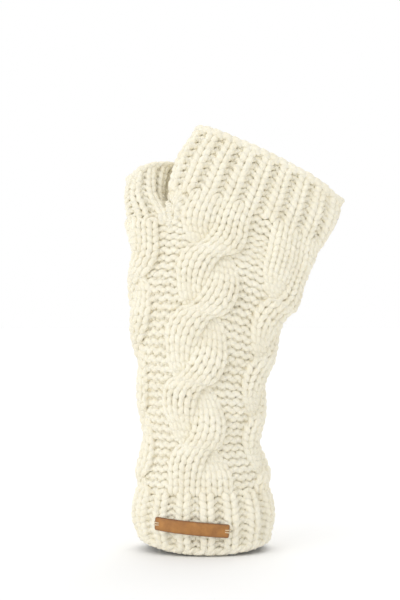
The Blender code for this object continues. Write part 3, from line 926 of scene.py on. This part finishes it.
def node(tree, kind, **values):
    made = tree.nodes.new(kind)
    for name, value in values.items():
        if name in made.inputs:
            made.inputs[name].default_value = value
        else:
            setattr(made, name, value)
    return made


def new_material(name, values):
    material = bpy.data.materials.new(name)
    material.use_nodes = True
    shader = material.node_tree.nodes["Principled BSDF"]
    for socket, value in values.items():
        shader.inputs[socket].default_value = value
    return material, material.node_tree, shader


def linked(tree, kind, source, socket, **values):
    """A node with one link from source."""
    made = node(tree, kind, **values)
    tree.links.new(source, made.inputs[socket])
    return made


def maths(tree, operation, first, *rest):
    """The result of one operation on node outputs and numbers."""
    made = node(tree, "ShaderNodeMath", operation=operation)
    for i, value in enumerate((first, *rest)):
        if isinstance(value, (int, float)):
            made.inputs[i].default_value = value
        else:
            tree.links.new(value, made.inputs[i])
    return made.outputs[0]


def object_place(tree):
    return node(tree, "ShaderNodeTexCoord").outputs["Object"]


def noise(tree, place, scale, detail=2.0, roughness=0.5):
    looks = {"Scale": scale, "Detail": detail, "Roughness": roughness}
    return linked(tree, "ShaderNodeTexNoise", place, "Vector", **looks).outputs["Fac"]


def ramp(tree, share, dark, light, ends=(0.0, 1.0)):
    made = linked(tree, "ShaderNodeValToRGB", share, "Fac")
    for element, position, colour in zip(made.color_ramp.elements, ends, (dark, light)):
        element.position, element.color = position, (*colour, 1.0)
    return made.outputs["Color"]


def mixed(tree, share, colour, other):
    """A colour that turns into a fixed one with share."""
    made = linked(tree, "ShaderNodeMix", share, 0, data_type="RGBA")
    tree.links.new(colour, made.inputs[6])
    made.inputs[7].default_value = (*other, 1.0)
    return made.outputs[2]


def bump(tree, height, strength, distance):
    return linked(tree, "ShaderNodeBump", height, "Height", Strength=strength, Distance=distance)


def yarn_spiral(tree, plies):
    """The yarn's twist: a wave that is low between the plies, and a place in which fibres run along them."""
    uv = node(tree, "ShaderNodeUVMap", uv_map=YARN_MAP)
    parts = linked(tree, "ShaderNodeSeparateXYZ", uv.outputs["UV"], 0)
    along = maths(tree, "MULTIPLY", parts.outputs["X"], 2 * math.pi / TWIST_PITCH)
    turn = maths(tree, "MULTIPLY_ADD", parts.outputs["Y"], 2 * math.pi * plies, along)
    wave = maths(tree, "SINE", turn)
    place = linked(tree, "ShaderNodeCombineXYZ", wave, "X")
    tree.links.new(maths(tree, "COSINE", turn), place.inputs["Y"])
    tree.links.new(maths(tree, "MULTIPLY", parts.outputs["X"], 1 / FIBRE_STREAK), place.inputs["Z"])
    return wave, place.outputs["Vector"]


def wool_material(name, light, dark, plies):
    """Cream wool: soft colour changes, fine fibres, the yarn's twist as slanting lines, and painted shade in
    its ply grooves.
    """
    material, tree, shader = new_material(name, WOOL_SHADER)
    place = object_place(tree)
    soft = noise(tree, place, 90.0, 3.0, 0.6)
    if plies:
        wave, spiral = yarn_spiral(tree, plies)
        fine = noise(tree, spiral, 3.0, 3.0, 0.65)
    else:
        fine = noise(tree, place, 2600.0, 2.0, 0.6)
    mean = maths(tree, "MULTIPLY", maths(tree, "ADD", soft, fine), 0.5)
    colour = ramp(tree, mean, dark, light, (0.38, 0.6))
    relief = bump(tree, fine, 0.42, 0.0003)
    if plies:
        tree.links.new(bump(tree, wave, 0.45, 0.0004).outputs["Normal"], relief.inputs["Normal"])
        # Painted shade: the grooves between the plies are coloured darker, towards the dark colour.
        limits = {"From Min": -1.0, "From Max": -0.2, "To Min": GROOVE_SHADE, "To Max": 0.0}
        groove = linked(tree, "ShaderNodeMapRange", wave, "Value", **limits)
        colour = mixed(tree, groove.outputs["Result"], colour, dark)
    tree.links.new(colour, shader.inputs["Base Color"])
    tree.links.new(relief.outputs["Normal"], shader.inputs["Normal"])
    return material


def leather_material():
    """Tan leather: clouded, finely grained, and darker at its cut edges."""
    material, tree, shader = new_material("leather", {"Roughness": 0.55})
    place = object_place(tree)
    cloud = noise(tree, place, 160.0, 5.0, 0.65)
    colour = ramp(tree, cloud, (0.29, 0.117, 0.028), (0.48, 0.22, 0.053), (0.3, 0.7))
    edge = node(tree, "ShaderNodeAttribute", attribute_name=EDGE_SHARE)
    colour = mixed(tree, edge.outputs["Fac"], colour, (0.16, 0.06, 0.02))
    grain = linked(tree, "ShaderNodeTexVoronoi", place, "Vector", Scale=1500.0)
    relief = bump(tree, grain.outputs["Distance"], 0.3, 0.0002)
    tree.links.new(colour, shader.inputs["Base Color"])
    tree.links.new(relief.outputs["Normal"], shader.inputs["Normal"])
    return material


def thread_material():
    material, tree, shader = new_material("thread", {"Roughness": 0.7})
    colour = ramp(tree, noise(tree, object_place(tree), 3000.0), (0.55, 0.42, 0.25), (0.8, 0.68, 0.48))
    tree.links.new(colour, shader.inputs["Base Color"])
    return material


WOOL = wool_material("wool_yarn", (0.93, 0.887, 0.748), (0.86, 0.802, 0.642), PLIES)
# The fuzz is a lighter copy of the wool: painted light that offsets the shade on its thin fibres.
FUZZ = wool_material("wool_fuzz", (0.99, 0.95, 0.84), (0.96, 0.91, 0.78), plies=0)
# The cloth's sheets are a darker wool colour: painted shade in the gaps between the loops.
SHADED_BACKING = wool_material("wool_backing_shade", (0.92, 0.85, 0.68), (0.84, 0.76, 0.58), plies=0)
LEATHER = leather_material()
THREAD = thread_material()

# ---- Knitting ----


def hem_spread(places):
    """The hem's own places as places in ROUND."""
    turns = np.floor(places / HEM_STITCHES)
    inside = places - turns * HEM_STITCHES
    return np.interp(inside, stitch_edges(0), np.arange(len(ROUND) + 1)) + turns * len(ROUND)


def hem_top(places, rows):
    return rib(places, RIB_HEIGHT)


def rim_top(height, last_row):
    """A rib whose purl stitches rise to the cast-off edge."""

    def risen(places, rows):
        rise = RIM_RISE * rim_share(rows, last_row, RIM_RISE_ROWS)
        return rib(places, height) + rise * (1 - knit_share(places))

    return risen


def bridge_lowered(top, tube):
    """top, with lower relief on the bridge of new stitches just over the fork."""

    def lowered(places, rows):
        wrapped = places % tube.stitches
        bridge = smooth_step(np.minimum(wrapped - tube.taken, tube.stitches - wrapped) + 1)
        near = (1 - smooth_step((rows - tube.start_row) / FORK_HEIGHT_ROWS)) * bridge
        return near * FORK_HEIGHT + (1 - near) * top(places, rows)

    return lowered


def cabled_top(places, rows):
    """The height of the cables and of the purl ground between them, at places in ROUND."""
    height = purl_top(places, rows)
    for cable, side in STRANDS:
        away = strand_away(cable, side, rows, places)
        top = strand_top(cable, side, rows, away)
        height = np.where(np.abs(away) < STRAND_STITCHES / 2, np.maximum(height, top), height)
    return height


def hand_cloth_top(places, rows):
    """The height of the hand tube's cables and its rib."""
    wrapped = places % HAND_TUBE.stitches
    cabled = np.where(wrapped < HAND_TUBE.taken, cabled_top(wrapped + THUMB_TO, rows), PURL_HEIGHT)
    return np.where(rows < CUFF_ROW, cabled, rim_top(RIB_HEIGHT, RIM_ROW)(places, rows))


HAND_TOP = bridge_lowered(rim_top(RIB_HEIGHT, RIM_ROW), HAND_TUBE)
HAND_CLOTH_TOP = bridge_lowered(hand_cloth_top, HAND_TUBE)
THUMB_TOP = bridge_lowered(rim_top(THUMB_RIB_HEIGHT, THUMB_ROWS), THUMB_TUBE)


def knit_hem():
    rng = np.random.default_rng(SEED)
    yarns = Yarns()
    for row in range(HEM_TOP_ROW):
        rib_course(yarns, ARM, row, HEM_STITCHES, hem_top, YARN_RADIUS, rng, hem_spread)
    rope_edge(yarns, ARM, HEM_STITCHES, hem_spread)
    return yarns, yarns.piece("hem_stitches", WOOL)


def knit_arm(name, first, last):
    rng = np.random.default_rng(SEED + first)
    yarns = Yarns()
    for row in range(first, last):
        for cable, side in STRANDS:
            strand_course(yarns, ARM, row, cable, side, rng)
        for run in ground_runs(row, 0, len(ROUND)):
            ground_course(yarns, ARM, row, run, rng)
    return yarns, yarns.piece(name, WOOL)


def knit_hand():
    rng = np.random.default_rng(SEED + 100)
    yarns = Yarns()
    bridge_kinds, bridge_top = rib_kinds(HAND_CAST_ON)[::-1], bridge_lowered(purl_top, HAND_TUBE)
    for row in range(FORK_ROW, CUFF_ROW):
        for cable, side in HAND_STRANDS:
            strand_course(yarns, HAND, row, cable, side, rng, THUMB_TO - len(ROUND))
        for run in ground_runs(row, THUMB_TO, THUMB_FROM + len(ROUND)):
            ground_course(yarns, HAND, row, run, rng, THUMB_TO)
        knit_course(yarns, HAND, row, HAND_TUBE.taken, bridge_kinds, bridge_top, YARN_RADIUS, rng)
    for row in range(CUFF_ROW, RIM_ROW):
        rib_course(yarns, HAND, row, HAND_TUBE.stitches, HAND_TOP, YARN_RADIUS, rng)
    chain_edge(yarns, HAND, RIM_ROW, HAND_TUBE.stitches, RIM_HEIGHT, RIM_YARN_RADIUS, rng)
    return yarns, yarns.piece("hand_stitches", WOOL)


def fill_fork(yarns, rng):
    """The fork's filling and the saddle of stitches over it."""
    for level in WEB_ROWS:
        hand, thumb = bridges(level, np.linspace(*FORK_SHARE, WEB_SAMPLES))
        yarns.add((hand + thumb) / 2, WEB_RADIUS)
    kinds = [1] * SADDLE_STITCHES
    for course in range(SADDLE_COURSES):
        knit_course(
            yarns, SADDLE, course, 0, kinds, lambda places, rows: SADDLE_HEIGHT, SADDLE_YARN_RADIUS, rng
        )


def lace_fork(yarns, side, hand_end, thumb_end, swing, plug_in):
    """The lacing at the fork's front, side 1, or back, side -1, and the plug of yarn beside it."""
    plug_rows = FORK_ROW + np.linspace(*PLUG_ROWS, PLUG_SAMPLES)
    plug_places = np.full(PLUG_SAMPLES, hand_end - side * plug_in)
    yarns.add(HAND.at(plug_rows, plug_places, PLUG_HEIGHT), LACING_RADIUS)
    steps = np.arange(LACING_TURNS * LACING_TURN_SAMPLES + 1)
    rows = np.linspace(*LACING_ROWS, len(steps))
    zigzag = np.sin(2 * math.pi * steps / LACING_TURN_SAMPLES)[:, None]
    hand = HAND.at(FORK_ROW + rows, hand_end + side * LACING_HAND_IN + 0 * rows, -LACING_DEPTH)
    thumb = THUMB.at(rows, thumb_end - side * LACING_THUMB_IN + 0 * rows, -LACING_DEPTH)
    yarns.add((hand + thumb) / 2 + unit(hand - thumb) * swing * zigzag, LACING_RADIUS)


def knit_thumb():
    rng = np.random.default_rng(SEED + 200)
    yarns = Yarns()
    for row in range(THUMB_ROWS):
        rib_course(yarns, THUMB, row, THUMB_TUBE.stitches, THUMB_TOP, THUMB_YARN_RADIUS, rng)
    fill_fork(yarns, rng)
    lace_fork(yarns, 1, HAND_TUBE.stitches, THUMB_TUBE.taken, LACING_SWING, PLUG_IN)
    lace_fork(yarns, -1, HAND_TUBE.taken, THUMB_TUBE.stitches, LACING_PALM_SWING, PLUG_PALM_IN)
    chain_edge(yarns, THUMB, THUMB_ROWS, THUMB_TUBE.stitches, THUMB_RIM_HEIGHT, THUMB_RIM_RADIUS, rng)
    return yarns, yarns.piece("thumb_stitches", WOOL)


def grid_faces(grid):
    """The faces between neighbours in a grid of corner numbers."""
    return np.stack([grid[:-1, :-1], grid[:-1, 1:], grid[1:, 1:], grid[1:, :-1]], axis=-1).reshape(-1, 4)


def backing(name, surface, first, last, stitches, top, spread=None):
    """The cloth in the middle of the loops: one open layer that closes the gaps between them, coloured
    darker as painted shade.
    """
    rows = np.linspace(first, last, (last - first) * SHEET_ROW_STEPS + 1)
    places = np.arange(stitches * SHEET_STITCH_STEPS) / SHEET_STITCH_STEPS
    read = places if spread is None else spread(places)
    verts = [
        surface.at(row + 0 * places, read, top(places, row + 0 * places) - SHEET_DEPTH) for row in rows
    ]
    count = len(places)
    grid = np.arange(len(rows) * count).reshape(len(rows), count)
    faces = grid_faces(np.hstack([grid, grid[:, :1]]))
    mesh = bpy.data.meshes.new(name)
    mesh.from_pydata(np.concatenate(verts).tolist(), [], faces.tolist())
    corner = np.stack([grid[:-1].ravel() % count, grid[:-1].ravel() // count], axis=1)[:, None]
    corners = (corner + np.array([(0, 0), (1, 0), (1, 1), (0, 1)])) / [count, len(rows) - 1]
    mesh.uv_layers.new(name=BAKE_MAP).data.foreach_set("uv", corners.ravel())
    mesh.shade_smooth()
    return add_object(name, mesh, SHADED_BACKING)


# ---- The label ----


def rows_at(places, z):
    """The hem's rows at these places and heights."""
    rows = np.full(len(places), LABEL_FIRST_ROW)
    for _ in range(LABEL_SEARCH_STEPS):
        rows += (z - ARM.at(rows, places, 0.0)[:, 2]) / ROW_HEIGHT
    return rows


def label_places(x, y):
    """The hem's rows and places under points of the label, given in metres from its middle."""
    near = LABEL_MIDDLE_STITCH + np.array([0.0, 1.0])
    ends = ARM.at(rows_at(near, LABEL_MIDDLE_Z), near, 0.0)
    across = x * math.cos(LABEL_TILT) - y * math.sin(LABEL_TILT)
    up = x * math.sin(LABEL_TILT) + y * math.cos(LABEL_TILT)
    places = LABEL_MIDDLE_STITCH + across / np.linalg.norm(ends[1] - ends[0])
    return rows_at(places, LABEL_MIDDLE_Z + up), places


def label_sag(x):
    """How far the label follows the ribs under it, and is pulled in by its stitches at both ends."""
    pulled = np.exp(-(((LABEL_LENGTH / 2 - np.abs(x)) / LABEL_STITCH_IN - 1) ** 2))
    return -LABEL_SAG * np.cos(2 * math.pi * x / LABEL_RIB_PITCH) ** 2 - LABEL_PULL * pulled


def edge_steps(length, inner):
    """Places from one end to the other, close together near both ends where the edge is rounded."""
    end = length / 2
    middle = np.linspace(LABEL_EDGE_END - end, end - LABEL_EDGE_END, inner)
    return np.concatenate([LABEL_EDGE_STEPS - end, middle, (end - LABEL_EDGE_STEPS)[::-1]])


def rounded_corners(x, y):
    """The strip's square corners drawn in to quarter circles."""
    r = LABEL_CORNER
    a = np.clip((np.abs(x) - LABEL_LENGTH / 2 + r) / r, 0, 1)
    b = np.clip((np.abs(y) - LABEL_WIDTH / 2 + r) / r, 0, 1)
    x = x - np.sign(x) * r * a * (1 - np.sqrt(1 - b * b / 2))
    y = y - np.sign(y) * r * b * (1 - np.sqrt(1 - a * a / 2))
    return x, y


def leather_label():
    """The label: a thin strip with round corners and softly rounded edges, over the front of the hem."""
    xs, ys = edge_steps(LABEL_LENGTH, LABEL_STEPS[0]), edge_steps(LABEL_WIDTH, LABEL_STEPS[1])
    x, y = (grid.ravel() for grid in np.meshgrid(xs, ys, indexing="ij"))
    inward = np.minimum(LABEL_LENGTH / 2 - np.abs(x), LABEL_WIDTH / 2 - np.abs(y))
    rows, places = label_places(*rounded_corners(x, y))
    fall = LABEL_EDGE * (1 - np.sqrt(1 - np.clip(1 - inward / LABEL_EDGE, 0, 1) ** 2))
    low = RIB_HEIGHT + LABEL_LIFT + label_sag(x)
    lower = ARM.at(rows, places, low + fall * LABEL_UNDER_EDGE)
    upper = ARM.at(rows, places, low + LABEL_THICKNESS - fall)
    count = len(x)
    grid = np.arange(count).reshape(len(xs), len(ys))
    border = np.array([*grid[:, 0], *grid[-1, 1:], *grid[-2::-1, -1], *grid[0, -2:0:-1]])
    after = np.roll(border, -1)
    faces = np.vstack([
        grid_faces(grid.T)[:, ::-1],
        grid_faces(grid.T + count),
        np.stack([border, after, after + count, border + count], axis=1),
    ])
    mesh = bpy.data.meshes.new("label_strip")
    mesh.from_pydata(np.vstack([lower, upper]).tolist(), [], faces.tolist())
    share = np.exp(-np.concatenate([inward, inward]) / LABEL_EDGE)
    mesh.attributes.new(EDGE_SHARE, "FLOAT", "POINT").data.foreach_set("value", share)
    mesh.shade_smooth()
    return add_object("label_strip", mesh, LEATHER)


def label_stitches():
    """Two short thread stitches over each end of the label, from a hole in it down into the wool."""
    yarns = Yarns()
    arc = np.linspace(0, 1, THREAD_SAMPLES)
    rise = THREAD_ARCH * np.sin(math.pi * np.clip(arc * THREAD_TURN + THREAD_PHASE, 0, 1)) - THREAD_START
    over = smooth_step((arc - THREAD_SINK) / (1 - THREAD_SINK))
    for end in (-1, 1):
        x = end * (LABEL_LENGTH / 2 - LABEL_STITCH_IN + (LABEL_STITCH_IN + LABEL_STITCH_OUT) * arc)
        top = RIB_HEIGHT + LABEL_THICKNESS + label_sag(x)
        height = (top + rise) * (1 - over) + LABEL_STITCH_FOOT * over
        for y in (-LABEL_STITCH_GAP, LABEL_STITCH_GAP):
            rows, places = label_places(x, y * (1 + THREAD_SPREAD * arc))
            yarns.add(ARM.at(rows, places, height), THREAD_RADIUS)
    return yarns.piece("label_thread", THREAD)


# ---- The pieces, and what each one stands for ----

# The arm's rows go to three pieces, so that none has too many triangles.
ARM_PIECES = (
    ("arm_stitches_lower", HEM_TOP_ROW, 19),
    ("arm_stitches_middle", 19, 30),
    ("arm_stitches_upper", 30, FORK_ROW),
)

knitted = {
    "hem": [knit_hem()],
    "arm": [knit_arm(name, first, last) for name, first, last in ARM_PIECES],
    "hand": [knit_hand()],
    "thumb": [knit_thumb()],
}
pieces = {part: [piece for _, piece in made] for part, made in knitted.items()}
all_yarns = [yarns for made in knitted.values() for yarns, _ in made]
fuzz = grow_fibres("wool_fuzz", all_yarns, FIBRES, FUZZ, np.random.default_rng(SEED + 300))
pieces["arm"].append(fuzz)
cloths = {
    "hem": backing("hem_cloth", ARM, 0, HEM_TOP_ROW, HEM_STITCHES, hem_top, hem_spread),
    "arm": backing("arm_cloth", ARM, HEM_TOP_ROW, FORK_ROW, len(ROUND), cabled_top),
    "hand": backing("hand_cloth", HAND, FORK_ROW, RIM_ROW, HAND_TUBE.stitches, HAND_CLOTH_TOP),
    "thumb": backing("thumb_cloth", THUMB, 0, THUMB_ROWS, THUMB_TUBE.stitches, THUMB_TOP),
}
# Each cloth's CAD node, and its length along the arm.
CLOTHS = {
    "hem": ("hem_rib", 31 * MM),
    "arm": ("cabled_arm", 145 * MM),
    "hand": ("hand_rib", 50 * MM),
    "thumb": ("thumb_rib", 33 * MM),
}

for part, (cad_node, length) in CLOTHS.items():
    cloth = cloths[part]
    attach(cloth, "root")
    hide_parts(cad_node)
    for thing in pieces[part]:
        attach(thing, "root")

label = leather_label()
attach(label, "root")
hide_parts("leather_label")
thread = label_stitches()
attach(thread, "root")

# ---- Stage, light and camera ----

CAMERA_PLACE = (-0.0012, -0.8, 0.0777)
CAMERA_HALF_HEIGHT = 0.174
FLOOR_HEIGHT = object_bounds()[0][2] - 0.1 * MM
FLOOR_SIZE = 6.0

# Each light's direction, strength and softness in degrees.
SUNS = {
    "key": ((-0.85, -0.75, 0.35), 1.0, 60),
    "fill": ((0.8, -0.75, 0.25), 0.2, 60),
    "back": ((0.2, 0.9, 0.8), 0.6, 60),
    "top": ((0.0, 0.1, 1.0), 0.5, 90),
}
WORLD_STRENGTH = 0.75


def make_floor():
    s = FLOOR_SIZE
    mesh = bpy.data.meshes.new("floor")
    corners = [(x, y, FLOOR_HEIGHT) for x, y in ((-s, -s), (s, -s), (s, s), (-s, s))]
    mesh.from_pydata(corners, [], [(0, 1, 2, 3)])
    looks = {"Roughness": 0.9, "Base Color": (0.93, 0.93, 0.93, 1.0)}
    add_object("floor", mesh, new_material("floor", looks)[0])


def make_world():
    """White light from all round, and a plain white backdrop for the camera."""
    world = bpy.data.worlds.new("studio")
    bpy.context.scene.world = world
    world.use_nodes = True
    tree = world.node_tree
    white = (1.0, 1.0, 1.0, 1.0)
    light = tree.nodes["Background"]
    light.inputs["Strength"].default_value = WORLD_STRENGTH
    light.inputs["Color"].default_value = white
    backdrop = node(tree, "ShaderNodeBackground", Color=white, Strength=1.0)
    seen = node(tree, "ShaderNodeLightPath")
    mix = linked(tree, "ShaderNodeMixShader", seen.outputs["Is Camera Ray"], "Fac")
    tree.links.new(light.outputs[0], mix.inputs[1])
    tree.links.new(backdrop.outputs[0], mix.inputs[2])
    tree.links.new(mix.outputs[0], tree.nodes["World Output"].inputs["Surface"])


def make_suns():
    """Soft, even lights that come from a direction, so that they light the whole floor alike."""
    for name, (towards, strength, softness) in SUNS.items():
        data = bpy.data.lights.new(name, "SUN")
        data.energy, data.angle = strength, math.radians(softness)
        lamp = bpy.data.objects.new(name, data)
        lamp.rotation_euler = Vector(towards).to_track_quat("Z", "Y").to_euler()
        bpy.context.scene.collection.objects.link(lamp)


def make_camera():
    data = bpy.data.cameras.new("camera")
    data.sensor_width = 36.0
    data.lens = data.sensor_width / 2 / (CAMERA_HALF_HEIGHT / abs(CAMERA_PLACE[1]))
    camera = bpy.data.objects.new("camera", data)
    camera.location = CAMERA_PLACE
    camera.rotation_euler = (math.radians(90), 0.0, 0.0)
    bpy.context.scene.collection.objects.link(camera)
    bpy.context.scene.camera = camera
    bpy.context.scene.view_settings.view_transform = "Standard"


make_floor()
make_world()
make_suns()
make_camera()
